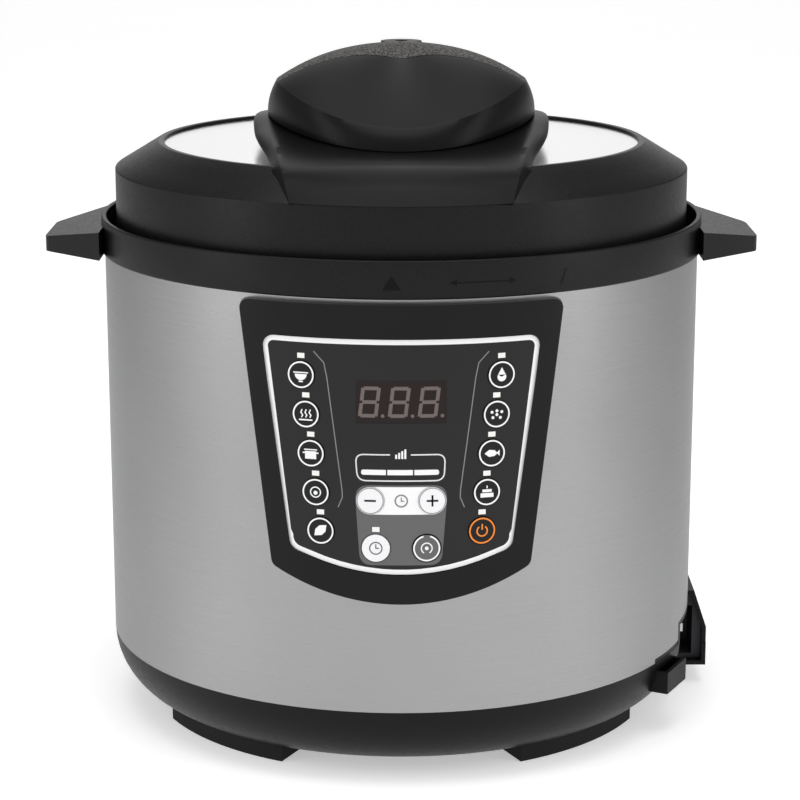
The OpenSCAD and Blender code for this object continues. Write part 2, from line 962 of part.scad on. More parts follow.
module condensate_cup() {
    wall = 1.6;
    color([0.75, 0.77, 0.8, 0.6]) {
        difference() {
            translate([0, 0, cup_top - cup_h])
                linear_extrude(cup_h)
                    translate([-cup_w / 2, cup_from]) square([cup_w, cup_d]);
            translate([0, 0, cup_top - cup_h + wall])
                linear_extrude(cup_h)
                    translate([-cup_w / 2 + wall, cup_from + wall])
                        square([cup_w - 2 * wall, cup_d - 2 * wall]);
        }
        for (side = [-1, 1])
            translate([side * (cup_w / 2 + 0.7) - 0.8, cup_from, rib_z - 1]) cube([1.6, 11, 2]);
        // finger ledge
        translate([-12, cup_from + cup_d - 0.5, cup_top - 3]) cube([24, 4.5, 2]);
    }
}

// ---------------------------------------------------------------- inner pot and seal

module pot_outline(inset) {
    intersection() {
        translate([0, inset]) square([pot_r - inset, pot_h + 5]);
        offset(r = 9 - inset, $fn = 48)
            translate([-50, 9]) square([50 + pot_r - 9, pot_h + 5]);
    }
}

module inner_pot() {
    color(bright)
        rotate_extrude()
            translate([0, z_pot])
                union() {
                    intersection() {
                        difference() {
                            pot_outline(0);
                            pot_outline(pot_wall);
                        }
                        square([pot_r + 1, pot_h]);
                    }
                    // rolled rim
                    translate([pot_r - pot_wall, pot_h - 2.6]) square([pot_rim + pot_wall, 2.6]);
                }
}

module sealing_ring() {
    color(silicone)
        rotate_extrude()
            rounded(1.2)
                difference() {
                    translate([pot_r - 6, z_seal]) square([10, seal_h]);
                    translate([pot_r - 7, z_seal + 2.4]) square([6.5, 2.6]);
                }
}

// ---------------------------------------------------------------- lid

z_flat = z_seal + seal_h;
z_tooth = z_rim - lug_t - lift_gap;
tooth_t = 3;
z_skirt = z_collar + 5;
lid_screw_ring = 52;
lid_screw_r = 2;
dome_r = pot_r - 12;
dome_top = pot_r - 50;

module lid_holes(grow) {
    post(0, valve_y, pipe_r + fit + grow, z_skirt, z_crest);
    post(0, float_y, float_r + 0.4 + grow, z_skirt, z_crest);
    for (i = [0:3])
        rotate([0, 0, 45 + 90 * i])
            post(lid_screw_ring, 0, lid_screw_r + fit, z_skirt, z_boss);
}

pipe_r = 4;
z_boss = z_disc + 8;

// Outline under the pressure plate's surface, less its thickness, with rounded corners
module plate_outline(inset, corner) {
    rounded(corner)
        polygon([
            [-20, z_rim - 30],
            [plate_r - inset, z_rim - 30],
            [plate_r - inset, z_flat + plate_t - inset],
            [dome_r, z_flat + plate_t - inset],
            [dome_top, z_plate + plate_t - inset],
            [-20, z_plate + plate_t - inset]
        ]);
}

module pressure_plate() {
    color(alloy) difference() {
        union() {
            rotate_extrude()
                intersection() {
                    translate([0, z_tooth - tooth_t]) square([plate_r, z_crest]);
                    difference() {
                        plate_outline(0, 3);
                        plate_outline(plate_t, 3 - plate_t);
                    }
                }
            // lip that holds the sealing ring
            ring(pot_r - 8.6, pot_r - 7.2, z_seal + 2, z_flat + 0.5);
            for (i = [0:teeth - 1])
                sector(tooth_r, plate_r - 0.4, z_tooth - tooth_t, z_tooth,
                    i * 360 / teeth + 90 - tooth_angle / 2, i * 360 / teeth + 90 + tooth_angle / 2);
        }
        lid_holes(0);
    }
}

// Outline of everything under the lid's outer surface
module lid_profile() {
    polygon([
        [-20, z_skirt],
        [skirt_r, z_skirt],
        [skirt_r, z_shoulder],
        [crown_r, z_crown],
        [disc_r + 0.1, z_crown],
        [disc_r + 0.1, z_disc - disc_t],
        [-20, z_disc - disc_t]
    ]);
}

module lid_shell() {
    color(black) difference() {
        union() {
            rotate_extrude()
                intersection() {
                    square([skirt_r, z_crest]);
                    difference() {
                        rounded(1) lid_profile();
                        polygon([
                            [-21, z_skirt - 1],
                            [skirt_r - lid_wall, z_skirt - 1],
                            [skirt_r - lid_wall, z_shoulder - lid_wall / 2],
                            [crown_r - 2, z_web],
                            [-21, z_web]
                        ]);
                    }
                }
            for (i = [0:3])
                rotate([0, 0, 45 + 90 * i])
                    post(lid_screw_ring, 0, 5, z_plate + plate_t, z_web + 1);
        }
        lid_holes(0);
    }
}

module lid_disc() {
    color(bright) difference() {
        disc(disc_r, z_disc - disc_t, z_disc);
        lid_holes(0);
    }
}

module lid_screws() {
    color(steel)
        for (i = [0:3])
            rotate([0, 0, 45 + 90 * i]) {
                post(lid_screw_ring, 0, lid_screw_r, z_plate - 1, z_boss);
                post(lid_screw_ring, 0, 4, z_plate - 3, z_plate);
            }
}

// ---------------------------------------------------------------- lid handle

// Outline with half width rx that reaches yf to the front and yr to the rear
function oval(rx, yf, yr) =
    [for (a = [0:7.5:359]) [rx * sin(a), -(cos(a) > 0 ? yf : yr) * cos(a)]];

module slice(z, rx, yf, yr) {
    translate([0, 0, z]) linear_extrude(0.2) polygon(oval(rx, yf, yr));
}

// The cap's outer form, less a wall
module dome(inset) {
    hull() {
        slice(z_disc + 1, cap_rx + 2.2 - inset, cap_front + 1.5 - inset, cap_rear + 1.5 - inset);
        slice(z_disc + 13, cap_rx - inset, cap_front - 5 - inset, cap_rear - 2 - inset);
        slice(z_crest - 13.3 - inset, cap_rx - 4.8 - inset, 0.46 * cap_front - inset, cap_rear - 8 - inset);
        slice(z_crest - 5.3 - inset, 0.64 * cap_rx - inset, 0.16 * cap_front - inset, cap_rear - 22 - inset);
        slice(z_crest - 0.2 - inset, 0.16 * cap_rx, 0.5, 12);
    }
}

saddle_drop = 8.5;
saddle_r = (cap_front * cap_front + saddle_drop * saddle_drop) / (2 * saddle_drop);

// A lying cylinder: its top is the parting surface below the cap
module saddle(grow) {
    translate([-shoulder_x - 10, 0, z_disc + 13 - saddle_r])
        rotate([0, 90, 0]) cylinder(r = saddle_r + grow, h = 2 * shoulder_x + 20, $fn = 180);
}

// The part of the dome behind the smooth front, as a plan
module grip_plan() {
    difference() {
        translate([-80, -60]) square([160, 160]);
        translate([0, -grip_from - grip_arc]) circle(r = grip_arc, $fn = 180);
    }
}

grip_from = 12;
grip_arc = 173;
valve_well = valve_r + 4;

module grip_zone() {
    translate([0, 0, z_crest - 22]) linear_extrude(30) grip_plan();
}

module handle_cap() {
    color(black) difference() {
        union() {
            difference() {
                dome(0);
                dome(cap_wall);
            }
            // wall round the pressure valve
            intersection() {
                dome(0);
                post(0, valve_y, valve_well + 2, z_disc + 9, z_crest);
            }
        }
        saddle(0.4);
        post(0, valve_y, valve_well, z_disc, z_crest + 1);
        // recess for the grip
        intersection() {
            grip_zone();
            difference() {
                dome(-1);
                dome(grip_t);
            }
        }
    }
}

module handle_grip() {
    color(dark) difference() {
        intersection() {
            grip_zone();
            dome(0);
        }
        dome(grip_t);
        post(0, valve_y, valve_well, z_disc, z_crest + 1);
    }
}

// The handle's base: shoulders, waist, and aprons that run down to the lid's skirt
module base_form() {
    hull() {
        slice(z_disc + 11.8, shoulder_x - 2, 30, 30);
        slice(z_disc + 8, shoulder_x, 34, 34);
        slice(z_disc - 2, waist_x - 1, 78, 78);
        for (side = [-1, 1]) {
            translate([-waist_x + 6, side * (crown_r - 3.5) - 2, z_crown - 3])
                cube([2 * waist_x - 12, 4, 3.9]);
            translate([0, 0, z_shoulder - 4])
                linear_extrude(4.4)
                    intersection() {
                        circle(r = skirt_r, $fn = 180);
                        translate([-apron_x, side * (skirt_r - 5) - 5]) square([2 * apron_x, 10]);
                    }
        }
    }
}

module handle_base() {
    color(black) difference() {
        base_form();
        // the lid under it
        rotate_extrude($fn = 180)
            polygon([
                [0, z_skirt],
                [skirt_r + 5, z_skirt],
                [skirt_r + 5, z_shoulder],
                [skirt_r, z_shoulder],
                [crown_r, z_crown],
                [disc_r, z_crown],
                [disc_r, z_disc],
                [0, z_disc]
            ]);
        // the cap above it
        difference() {
            dome(-0.4);
            saddle(0);
        }
        // hollow under the cap
        difference() {
            translate([0, 0, z_disc - 1]) linear_extrude(6) polygon(oval(waist_x - 4, 66, 66));
            for (i = [0:3])
                rotate([0, 0, 45 + 90 * i]) post(lid_screw_ring, 0, 6, z_disc - 2, z_disc + 6);
            post(0, valve_y, valve_well + 2, z_disc - 2, z_disc + 6);
        }
        lid_holes(0);
    }
}

// ---------------------------------------------------------------- valves

z_pipe = z_crest - 18.3;
z_valve_top = z_crest - 1.6;
z_valve = z_pipe - 8;

module exhaust_pipe() {
    color(alloy) difference() {
        union() {
            post(0, valve_y, pipe_r, z_plate - 5, z_pipe);
            post(0, valve_y, 8, z_plate - 2, z_plate);
            post(0, valve_y, 6, z_valve - 3, z_valve - fit);
        }
        post(0, valve_y, 1.8, z_plate - 6, z_pipe + 1);
    }
}

module valve_cap() {
    color(black) difference() {
        union() {
            post(0, valve_y, valve_r, z_valve, z_valve_top);
            // finger tab
            translate([-1.5, valve_y, z_valve + 3]) cube([3, valve_r + 2.6, z_valve_top - z_valve - 5]);
        }
        post(0, valve_y, valve_r - 1.5, z_valve + 2, z_valve_top - 1.5);
        post(0, valve_y, pipe_r + slack, z_valve - 1, z_valve + 3);
        post(0, valve_y, 3, z_valve_top - 0.8, z_valve_top + 1);
    }
}

module valve_weight() {
    color(steel) {
        post(0, valve_y, valve_r - 2.3, z_pipe, z_valve_top - 1.8 - valve_lift);
        post(0, valve_y, 1.4, z_pipe - 2.5, z_pipe + 0.1);
    }
}

z_float = z_flat + 0.6 - float_lift;

module float_valve() {
    color(alloy) {
        post(0, float_y, float_r, z_float, z_crown + 1.8);
        post(0, float_y, float_r + 3, z_float - 3, z_float);
        post(0, float_y, float_r + 1, z_float - 7, z_float - 2.9);
    }
}

// ---------------------------------------------------------------- assembly

base_shell();
foot_front_right();
foot_rear_right();
foot_rear_left();
foot_front_left();
base_screws();
steel_body();
collar();
outer_pot();
pot_screws();
heating_plate();
heating_element();
heat_shield();
thermal_fuse();
pressure_switch();
power_board();
power_parts();
ribbon_cable();
control_board();
display_module();
display_window();
indicator_leds();
tact_switches();
panel_frame();
panel_overlay();
key_left_1();
key_left_2();
key_left_3();
key_left_4();
key_left_5();
key_right_1();
key_right_2();
key_right_3();
key_right_4();
key_power();
key_minus();
key_plus();
key_timer();
key_flavor();
inlet_housing();
inlet_socket();
inlet_pins();
side_pocket();
cup_bracket();
condensate_cup();
temperature_sensor();
sensor_spring();
inner_pot();
sealing_ring();
lid_shell();
lid_disc();
handle_base();
handle_cap();
handle_grip();
lid_screws();
pressure_plate();
exhaust_pipe();
valve_cap();
valve_weight();
float_valve();
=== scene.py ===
"""Looks of the electric pressure cooker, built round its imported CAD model.

Metres, +Z up, the front faces -Y.
"""
import math

import bmesh
import bpy
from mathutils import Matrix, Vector
from mathutils.geometry import tessellate_polygon


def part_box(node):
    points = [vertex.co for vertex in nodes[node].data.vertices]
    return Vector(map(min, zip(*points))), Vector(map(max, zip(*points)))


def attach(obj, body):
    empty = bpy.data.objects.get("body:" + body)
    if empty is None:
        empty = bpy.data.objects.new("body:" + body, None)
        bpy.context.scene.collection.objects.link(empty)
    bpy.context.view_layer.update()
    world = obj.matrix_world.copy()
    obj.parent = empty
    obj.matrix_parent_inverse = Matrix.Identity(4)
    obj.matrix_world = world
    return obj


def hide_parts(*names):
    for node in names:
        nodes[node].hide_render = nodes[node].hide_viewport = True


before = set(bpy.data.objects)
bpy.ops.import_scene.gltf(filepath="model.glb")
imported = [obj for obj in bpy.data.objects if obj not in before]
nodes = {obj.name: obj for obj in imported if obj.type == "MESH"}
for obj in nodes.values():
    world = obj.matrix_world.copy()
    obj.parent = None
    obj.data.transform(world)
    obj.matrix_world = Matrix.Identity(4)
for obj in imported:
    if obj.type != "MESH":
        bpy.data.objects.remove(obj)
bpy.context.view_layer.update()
MM = 0.001


# ---------------------------------------------------------------- node helpers


class Nodes:
    """A node tree with short calls for the nodes that are needed here."""

    def __init__(self, tree, coordinates):
        self.tree = tree
        self.coords = self.add("ShaderNodeTexCoord").outputs[coordinates]

    def add(self, kind, **settings):
        node = self.tree.nodes.new(kind)
        for key, value in settings.items():
            setattr(node, key, value)
        return node

    def link(self, source, socket):
        self.tree.links.new(source, socket)

    def feed(self, value, socket):
        if isinstance(value, bpy.types.NodeSocket):
            self.link(value, socket)
        else:
            socket.default_value = value

    def scaled(self, scale):
        """The coordinates, each times its own number."""
        node = self.add("ShaderNodeMapping")
        self.link(self.coords, node.inputs["Vector"])
        node.inputs["Scale"].default_value = scale
        return node.outputs["Vector"]

    def noise(self, scale, detail, roughness=0.5, vector=None):
        node = self.add("ShaderNodeTexNoise")
        self.link(vector or self.coords, node.inputs["Vector"])
        node.inputs["Scale"].default_value = scale
        node.inputs["Detail"].default_value = detail
        node.inputs["Roughness"].default_value = roughness
        return node.outputs["Fac"]

    def cells(self, scale):
        """Distance to the middle of the nearest random cell."""
        node = self.add("ShaderNodeTexVoronoi", feature="F1")
        self.link(self.coords, node.inputs["Vector"])
        node.inputs["Scale"].default_value = scale
        return node.outputs["Distance"]

    def math(self, operation, a, b=0.0, clamp=False):
        node = self.add("ShaderNodeMath", operation=operation, use_clamp=clamp)
        self.feed(a, node.inputs[0])
        self.feed(b, node.inputs[1])
        return node.outputs[0]

    def remap(self, value, low, high, to_low=0.0, to_high=1.0):
        """Stretches low..high to to_low..to_high, and holds what is outside at the ends."""
        node = self.add("ShaderNodeMapRange")
        self.link(value, node.inputs["Value"])
        for socket, number in zip(("From Min", "From Max", "To Min", "To Max"), (low, high, to_low, to_high)):
            node.inputs[socket].default_value = number
        return node.outputs["Result"]

    def mix(self, factor, a, b):
        """Colour a where factor is 0 and b where it is 1."""
        node = self.add("ShaderNodeMix", data_type="RGBA")
        self.feed(factor, node.inputs["Factor"])
        for value, socket in ((a, node.inputs[6]), (b, node.inputs[7])):
            self.feed(value if isinstance(value, bpy.types.NodeSocket) else (*value, 1), socket)
        return node.outputs[2]

    def blend(self, factor, a, b):
        """Number a where factor is 0 and b where it is 1."""
        node = self.add("ShaderNodeMix", data_type="FLOAT")
        self.feed(factor, node.inputs["Factor"])
        self.feed(a, node.inputs[2])
        self.feed(b, node.inputs[3])
        return node.outputs[0]

    def xyz(self):
        node = self.add("ShaderNodeSeparateXYZ")
        self.link(self.coords, node.inputs[0])
        return node.outputs


class Shader(Nodes):
    """A material that starts from one Principled BSDF, with object coordinates."""

    def __init__(self, name):
        self.mat = bpy.data.materials.new(name)
        self.mat.use_nodes = True
        super().__init__(self.mat.node_tree, "Object")
        self.bsdf = self.tree.nodes["Principled BSDF"]

    def bump(self, height, distance, strength=1.0):
        node = self.add("ShaderNodeBump")
        node.inputs["Strength"].default_value = strength
        node.inputs["Distance"].default_value = distance
        self.link(height, node.inputs["Height"])
        self.link(node.outputs[0], self.bsdf.inputs["Normal"])

    def set(self, **values):
        for key, value in values.items():
            socket = self.bsdf.inputs[key.replace("_", " ")]
            if isinstance(value, tuple) and len(value) == 3:
                value = (*value, 1)
            self.feed(value, socket)


def shade(color, factor):
    """A colour made darker or lighter by a factor."""
    return tuple(min(1, c * factor) for c in color)


def plastic(name, color, rough, grain=900, depth=0.00004, spread=0.25, level=0.3):
    """Moulded plastic: a fine grain, a slow change of colour and a gloss that varies a little."""
    s = Shader(name)
    slow = s.noise(22, 3)
    fine = s.cells(grain)
    s.set(Base_Color=s.mix(slow, shade(color, 1 - spread), shade(color, 1 + spread)))
    s.set(Roughness=s.remap(slow, 0.3, 0.7, rough * 0.9, min(1, rough * 1.12)))
    s.bump(s.blend(0.3, fine, s.noise(grain * 0.4, 2)), depth)
    s.set(Specular_IOR_Level=level)
    return s.mat


def metal(name, color, rough, stretch, scratch=0.00001, spread=0.1):
    """Metal with streaks: stretch is how fast the streaks change along X, Y and Z."""
    s = Shader(name)
    streak = s.noise(1, 4, 0.65, s.scaled(stretch))
    slow = s.noise(9, 2)
    s.set(Metallic=1.0)
    share = s.math("MULTIPLY", streak, slow)
    s.set(Base_Color=s.mix(share, shade(color, 1 - spread), shade(color, 1 + spread)))
    s.set(Roughness=s.remap(streak, 0.3, 0.7, rough * 0.8, rough * 1.25))
    s.bump(streak, scratch)
    return s.mat


def brushed_sleeve():
    """Steel brushed round the body, so its highlights stretch upwards."""
    s = Shader("brushed_sleeve")
    streak = s.noise(1, 4, 0.65, s.scaled((14, 14, 5200)))
    share = s.math("MULTIPLY", streak, s.noise(9, 2))
    steel = (0.315, 0.315, 0.318)
    s.set(Metallic=1.0, Base_Color=s.mix(share, shade(steel, 0.80), shade(steel, 1.20)))
    s.set(Roughness=s.remap(streak, 0.3, 0.7, 0.24, 0.375), Anisotropic=0.55)
    s.bump(streak, 0.000012)
    tangent = s.add("ShaderNodeTangent", direction_type="RADIAL", axis="Z")
    s.set(Tangent=tangent.outputs[0])
    return s.mat


def leathery(name, color, rough, scale, depth):
    """Plastic with a leather grain: irregular cells with soft valleys."""
    s = Shader(name)
    warp = s.noise(scale * 0.35, 2)
    edge = s.cells(scale)
    height = s.math("MULTIPLY", s.math("POWER", edge, 0.7), s.remap(warp, 0.25, 0.75, 0.55, 1.1))
    share = s.math("MULTIPLY", edge, 1.2, clamp=True)
    s.set(Base_Color=s.mix(share, shade(color, 1.35), shade(color, 0.7)))
    s.set(Roughness=s.remap(warp, 0.3, 0.7, rough * 0.88, rough * 1.1))
    s.bump(height, depth, 0.8)
    s.set(Specular_IOR_Level=0.15)
    return s.mat


def frosted_cup():
    """Clear plastic with a faint frost."""
    s = Shader("frosted_cup")
    s.set(Base_Color=(0.86, 0.88, 0.9), Roughness=0.25, Transmission_Weight=0.75, IOR=1.45)
    s.bump(s.noise(700, 2), 0.00002)
    return s.mat


def cap_top():
    """Top of the lid handle: a smooth plate in front and a coarse grained grip behind a dark seam."""
    s = Shader("cap_top")
    x, y, _ = s.xyz()
    # the seam lies where behind_seam is 0: straight across the middle, bent forward at both sides
    across = s.math("MULTIPLY", x, 0.38)
    bend = s.math("SQRT", s.math("ADD", s.math("MULTIPLY", across, across), 0.000009))
    behind_seam = s.math("ADD", s.math("ADD", y, 0.009), bend)
    in_grip = s.math("GREATER_THAN", behind_seam, 0.0)
    seam = s.math("LESS_THAN", s.math("ABSOLUTE", behind_seam), 0.0006)
    speckle = s.remap(s.noise(1100, 3, 0.7), 0.42, 0.66)
    grip = s.mix(speckle, (0.012, 0.0115, 0.011), (0.17, 0.165, 0.16))
    smooth = s.mix(s.noise(30, 2), (0.0045, 0.0045, 0.0047), (0.0065, 0.0065, 0.0068))
    s.set(Base_Color=s.mix(seam, s.mix(in_grip, smooth, grip), (0.001, 0.001, 0.001)))
    s.set(Roughness=s.blend(in_grip, 0.36, 0.6), Specular_IOR_Level=0.10)
    fine = s.math("MULTIPLY", s.noise(1400, 2), 0.05)
    height = s.math("SUBTRACT", s.blend(in_grip, fine, s.cells(760)), s.math("MULTIPLY", seam, 2.0))
    s.bump(height, 0.0002, 0.7)
    return s.mat


# ---------------------------------------------------------------- materials

black = plastic("black_plastic", (0.0055, 0.0055, 0.006), 0.42, 1100, 0.00003, level=0.12)
satin = plastic("satin_black", (0.0045, 0.0045, 0.0048), 0.33, 1500, 0.000012, level=0.08)
rim_black = plastic("rim_black", (0.006, 0.006, 0.0065), 0.34, 1300, 0.00002, level=0.14)
rubber = plastic("foot_rubber", (0.010, 0.010, 0.010), 0.75, 1600, 0.00004, level=0.15)
dark_parts = plastic("dark_parts", (0.03, 0.03, 0.035), 0.5, 1200, 0.00002)
silicone = plastic("silicone", (0.62, 0.62, 0.59), 0.45, 800, 0.00002, 0.06)
board = plastic("circuit_board", (0.02, 0.11, 0.05), 0.35, 500, 0.00003, 0.3)
led = plastic("led_lens", (0.78, 0.78, 0.75), 0.25, 700, 0.00001, 0.05)
print_white = plastic("print_white", (0.80, 0.80, 0.80), 0.45, 900, 0.000004, 0.04)
print_light = plastic("print_light", (0.68, 0.68, 0.69), 0.45, 900, 0.000004, 0.04)
print_grey = plastic("print_grey", (0.105, 0.105, 0.107), 0.4, 900, 0.000004, 0.06)
print_line = plastic("print_line", (0.20, 0.20, 0.205), 0.4, 900, 0.000004, 0.06)
print_orange = plastic("print_orange", (0.80, 0.22, 0.02), 0.4, 900, 0.000004, 0.06)
print_black = plastic("print_black", (0.003, 0.003, 0.003), 0.3, 900, 0.000004, 0.06, level=0.1)
digits = plastic("digit_segments", (0.125, 0.10, 0.095), 0.5, 900, 0.000004, 0.06)
key_white = plastic("key_white", (0.76, 0.76, 0.77), 0.35, 1000, 0.00001, 0.04)
key_dark = plastic("key_dark", (0.006, 0.006, 0.0065), 0.25, 1500, 0.000006, 0.2, level=0.2)
film = plastic("panel_film", (0.008, 0.008, 0.0085), 0.25, 1200, 0.000004, 0.2, level=0.25)
lens = plastic("display_lens", (0.010, 0.004, 0.004), 0.12, 1200, 0.000002, 0.2, level=0.2)

sleeve = brushed_sleeve()
mirror_steel = metal("bright_steel", (0.93, 0.93, 0.93), 0.16, (900, 900, 900), 0.000003, 0.03)
plate_steel = metal("plate_steel", (0.66, 0.66, 0.67), 0.32, (60, 60, 1500), 0.00001)
pot_steel = metal("pot_steel", (0.74, 0.74, 0.75), 0.22, (20, 20, 3000), 0.000006)
fastener = metal("fastener_steel", (0.6, 0.6, 0.6), 0.38, (700, 700, 700), 0.00001)
cast = metal("cast_aluminium", (0.62, 0.63, 0.64), 0.42, (500, 500, 500), 0.00003)
brass = metal("brass_parts", (0.72, 0.55, 0.25), 0.3, (600, 600, 600), 0.00001)

lid_black = leathery("lid_grain", (0.007, 0.007, 0.0075), 0.36, 1500, 0.00005)
collar_black = leathery("collar_grain", (0.007, 0.007, 0.0075), 0.38, 1800, 0.00003)
# the base's grain is the lid's grain painted darker: painted shade, to take back the light the glowing floor
# throws on the base
base_black_painted_shade = leathery("base_grain_painted_shade", (0.003, 0.003, 0.0032), 0.40, 1500, 0.00004)

cap_band = plastic("cap_band", (0.0045, 0.0045, 0.0048), 0.3, 1500, 0.000008, level=0.10)
cup_clear = frosted_cup()

# which CAD nodes each material is on
LOOKS = {
    black: "inlet_housing side_pocket cup_bracket valve_cap",
    base_black_painted_shade: "base_shell",
    lid_black: "lid_shell",
    collar_black: "collar",
    satin: "handle_base",
    rim_black: "panel_frame",
    rubber: "foot_front_right foot_rear_right foot_rear_left foot_front_left",
    fastener: "base_screws pot_screws lid_screws valve_weight sensor_spring inlet_pins",
    sleeve: "steel_body",
    mirror_steel: "lid_disc",
    pot_steel: "inner_pot float_valve exhaust_pipe temperature_sensor",
    plate_steel: "pressure_plate outer_pot heat_shield",
    cast: "heating_plate",
    dark_parts: "heating_element pressure_switch power_parts ribbon_cable display_module tact_switches"
    " inlet_socket",
    brass: "thermal_fuse",
    board: "power_board control_board",
    lens: "display_window",
    led: "indicator_leds",
    film: "panel_overlay",
    key_dark: "key_left_1 key_left_2 key_left_3 key_left_4 key_left_5"
    " key_right_1 key_right_2 key_right_3 key_right_4 key_power key_flavor",
    key_white: "key_minus key_plus key_timer",
    cup_clear: "condensate_cup",
    silicone: "sealing_ring",
}
SPLIT_ANGLE = math.radians(28)  # sharper edges than this stay sharp under smooth shading
WELD_WITHIN = 0.000002
for material, names in LOOKS.items():
    for name in names.split():
        node = nodes[name]
        node.data.materials.clear()
        node.data.materials.append(material)
        if "custom_normal" in node.data.attributes:
            node.data.attributes.remove(node.data.attributes["custom_normal"])
        node.data.polygons.foreach_set("use_smooth", [True] * len(node.data.polygons))
        weld = node.modifiers.new("weld", "WELD")
        weld.merge_threshold = WELD_WITHIN
        split = node.modifiers.new("edges", "EDGE_SPLIT")
        split.split_angle = SPLIT_ANGLE


# ---------------------------------------------------------------- flat shapes, in millimetres


def rect(x0, z0, x1, z1):
    return [[(x0, z0), (x1, z0), (x1, z1), (x0, z1)]]


def around(x, z, r, degrees):
    """The points of a circle at the given angles."""
    return [(x + r * math.cos(math.radians(a)), z + r * math.sin(math.radians(a))) for a in degrees]


def steps(first, last, n):
    """n + 1 numbers from first to last, evenly spaced."""
    return [first + (last - first) * k / n for k in range(n + 1)]


def circle(x, z, r, n=32):
    return around(x, z, r, steps(0, 360, n)[:-1])


def arc(x, z, r0, r1, a0, a1, n=24):
    """Quads along a circular arc between two radii, from a0 to a1 degrees."""
    inner, outer = (around(x, z, r, steps(a0, a1, n)) for r in (r0, r1))
    return [[inner[k], outer[k], outer[k + 1], inner[k + 1]] for k in range(n)]


def stroke(points, width, closed=False):
    """Quads along a line of points."""
    pts = [Vector(p) for p in points]
    n = len(pts)
    sides = []
    for k, p in enumerate(pts):
        before = pts[k - 1] if closed or k else None
        after = pts[(k + 1) % n] if closed or k < n - 1 else None
        ends = [(a, b) for a, b in ((before, p), (p, after)) if a is not None and b is not None]
        ways = [(b - a).normalized() for a, b in ends]
        way = sum(ways, Vector((0, 0))).normalized()
        normal = Vector((-way.y, way.x))
        # a corner is mitred, though never past twice the width
        reach = width / 2 / max(0.5, normal.dot(Vector((-ways[0].y, ways[0].x))))
        sides.append((p - normal * reach, p + normal * reach))
    following = sides[1:] + (sides[:1] if closed else [])
    return [[tuple(a[0]), tuple(a[1]), tuple(b[1]), tuple(b[0])] for a, b in zip(sides, following)]


def fill(outer, holes=()):
    """Triangles that fill an outline with holes."""
    loops = [[Vector((x, z, 0)) for x, z in loop] for loop in [outer, *holes]]
    flat = [tuple(p[:2]) for loop in loops for p in loop]
    return [[flat[k] for k in tri] for tri in tessellate_polygon(loops)]


def rounded(points, radii, n=8):
    """An outline whose corners are rounded, each by its own amount."""
    out = []
    for k, (p, r) in enumerate(zip(points, radii)):
        p, a, b = Vector(p), Vector(points[k - 1]), Vector(points[(k + 1) % len(points)])
        if not r:
            out.append(tuple(p))
            continue
        start, end = p + (a - p).normalized() * r, p + (b - p).normalized() * r
        out += [tuple(start * (1 - t) ** 2 + p * 2 * t * (1 - t) + end * t * t) for t in steps(0, 1, n)]
    return out


def on_cylinder(radius):
    """Puts a point of a front view on an upright cylinder, h further out."""
    return lambda x, z, h: (x, -math.sqrt((radius + h) ** 2 - x * x), z)


def on_key(x, z, radius):
    """Puts a point on the flat face of a key whose middle is at x, z."""
    turn = math.asin(x / (radius - KEY_PROUD))
    c, s = math.cos(turn), math.sin(turn)
    return lambda u, w, h: (s * (radius + h) + c * u, -c * (radius + h) + s * u, z + w)


# ---------------------------------------------------------------- pieces


def new_piece(name, bm, *materials):
    """An object made from a bmesh, with its materials."""
    bmesh.ops.recalc_face_normals(bm, faces=bm.faces[:])
    mesh = bpy.data.meshes.new(name)
    bm.to_mesh(mesh)
    bm.free()
    for material in materials:
        mesh.materials.append(material)
    piece = bpy.data.objects.new(name, mesh)
    bpy.context.scene.collection.objects.link(piece)
    return piece


def marks(name, faces, place, material, body, height=0.07, step=2.5):
    """A thin closed piece made of flat faces, bent in strips step wide onto the surface that place gives."""
    bm = bmesh.new()
    seen = {}
    for face in faces:
        verts = []
        for p in face:
            key = (round(p[0], 3), round(p[1], 3))
            if key not in seen:
                seen[key] = bm.verts.new((key[0], key[1], 0))
            if seen[key] not in verts:
                verts.append(seen[key])
        if len(verts) > 2 and not bm.faces.get(verts):
            bm.faces.new(verts)
    xs = [v.co.x for v in bm.verts]
    cut = math.ceil(min(xs) / step) * step
    while cut < max(xs):
        everything = bm.verts[:] + bm.edges[:] + bm.faces[:]
        bmesh.ops.bisect_plane(bm, geom=everything, dist=0.0005, plane_co=(cut, 0, 0), plane_no=(1, 0, 0))
        cut += step
    bmesh.ops.recalc_face_normals(bm, faces=bm.faces[:])
    for face in bm.faces:
        if face.normal.z < 0:
            face.normal_flip()
    top = bmesh.ops.extrude_face_region(bm, geom=bm.faces[:], use_keep_orig=True)
    for item in top["geom"]:
        if isinstance(item, bmesh.types.BMVert):
            item.co.z = height
    for vert in bm.verts:
        vert.co = Vector(place(vert.co.x, vert.co.y, vert.co.z)) * MM
    piece = new_piece(name, bm, material)
    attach(piece, body)


# ---------------------------------------------------------------- marks on the panel

overlay_low, overlay_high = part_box("panel_overlay")
frame_low, frame_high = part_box("panel_frame")
z_low = frame_low.z / MM
z_top = overlay_high.z / MM
OVERLAY_R = -overlay_low.y / MM
KEY_PROUD = 0.4  # how far a key's face stands out of the overlay
PRINT_LIFT = 0.01  # from the surface to the back of a printed mark
on_panel = on_cylinder(OVERLAY_R + PRINT_LIFT)


def print_on(name, faces, material, place=on_panel, height=0.07):
    """A mark on the body of the cooker."""
    marks(name, faces, place, material, "cooker_body", height)


def above_foot(points):
    """Moves points up, so that their heights count from the foot of the panel."""
    return [(x, z_low + z) for x, z in points]


BORDER_W = 2.1
OVERLAY_HALF_W = 57.7  # at its top
OVERLAY_TAPER = 14.5  # how much narrower each side gets over the height of the frame
OVERLAY_CORNER = 4.2
FOOT_ARC_R, FOOT_ARC_Z = 109, 121.5  # of the overlay's curved foot


